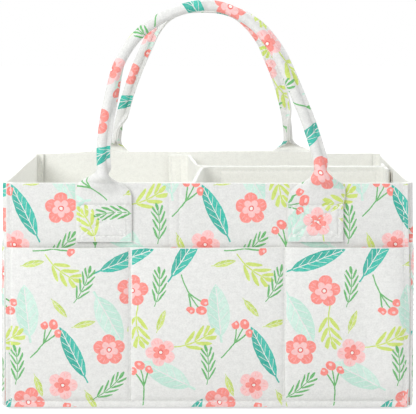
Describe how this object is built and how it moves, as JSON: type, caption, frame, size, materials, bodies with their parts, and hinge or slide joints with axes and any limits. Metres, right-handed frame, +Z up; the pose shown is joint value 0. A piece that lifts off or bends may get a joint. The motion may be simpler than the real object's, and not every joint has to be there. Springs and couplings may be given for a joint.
{
  "type": "diaper caddy",
  "caption": "Open felt box with outer pockets on all sides, two rolled felt carrying handles that fold down, and a lift-out divider that makes separate compartments.",
  "frame": {"origin": "On the floor, at the middle of the underside of the felt bottom.", "axes": "+Z up, +X to the right along the long side as seen from the front, -Y to the front."},
  "size_m": [0.3554, 0.262, 0.3388],
  "materials": {
    "front_panel": "printed felt",
    "back_panel": "printed felt",
    "left_side_panel": "printed felt",
    "right_side_panel": "printed felt",
    "bottom_panel": "printed felt",
    "base_board": "plain fibre board",
    "bottom_lining": "plain felt",
    "front_pocket": "printed felt",
    "back_pocket": "printed felt",
    "left_pocket": "printed felt",
    "right_pocket": "printed felt",
    "front_handle_left_end": "printed felt",
    "front_handle_right_end": "printed felt",
    "back_handle_left_end": "printed felt",
    "back_handle_right_end": "printed felt",
    "front_handle_grip": "printed felt",
    "back_handle_grip": "printed felt",
    "front_handle_core": "cotton cord",
    "back_handle_core": "cotton cord",
    "divider_front_leaf": "plain felt",
    "divider_back_leaf": "plain felt",
    "front_hook_tape": "hook tape",
    "front_loop_tape": "loop tape",
    "back_hook_tape": "hook tape",
    "back_loop_tape": "loop tape",
    "right_front_hook_tape": "hook tape",
    "right_front_loop_tape": "loop tape",
    "right_back_hook_tape": "hook tape",
    "right_back_loop_tape": "loop tape"
  },
  "bodies": {
    "box": {"front_panel": "front_panel", "back_panel": "back_panel", "left_side_panel": "left_side_panel", "right_side_panel": "right_side_panel", "bottom_panel": "bottom_panel", "base_board": "base_board", "bottom_lining": "bottom_lining", "front_pocket": "front_pocket", "back_pocket": "back_pocket", "left_pocket": "left_pocket", "right_pocket": "right_pocket", "front_handle_left_end": "front_handle_left_end", "front_handle_right_end": "front_handle_right_end", "back_handle_left_end": "back_handle_left_end", "back_handle_right_end": "back_handle_right_end", "front_loop_tape": "front_loop_tape", "back_loop_tape": "back_loop_tape", "right_front_loop_tape": "right_front_loop_tape", "right_back_loop_tape": "right_back_loop_tape"},
    "front_handle": {"front_handle_grip": "front_handle_grip", "front_handle_core": "front_handle_core"},
    "back_handle": {"back_handle_grip": "back_handle_grip", "back_handle_core": "back_handle_core"},
    "divider": {"divider_front_leaf": "divider_front_leaf", "divider_back_leaf": "divider_back_leaf", "front_hook_tape": "front_hook_tape", "back_hook_tape": "back_hook_tape", "right_front_hook_tape": "right_front_hook_tape", "right_back_hook_tape": "right_back_hook_tape"}
  },
  "joints": [
    {"name": "front_handle_fold", "type": "hinge", "parent": "box", "child": "front_handle", "pos_m": [0, -0.123, 0.19], "axis": [1, 0, 0], "range_deg": [-50, 168], "deforming": ["front_handle_left_end", "front_handle_right_end"]},
    {"name": "back_handle_fold", "type": "hinge", "parent": "box", "child": "back_handle", "pos_m": [0, 0.123, 0.19], "axis": [-1, 0, 0], "range_deg": [-50, 168], "deforming": ["back_handle_left_end", "back_handle_right_end"]},
    {"name": "divider_lift", "type": "slide", "parent": "box", "child": "divider", "axis": [0, 0, 1], "range_m": [0, 0.3]}
  ]
}
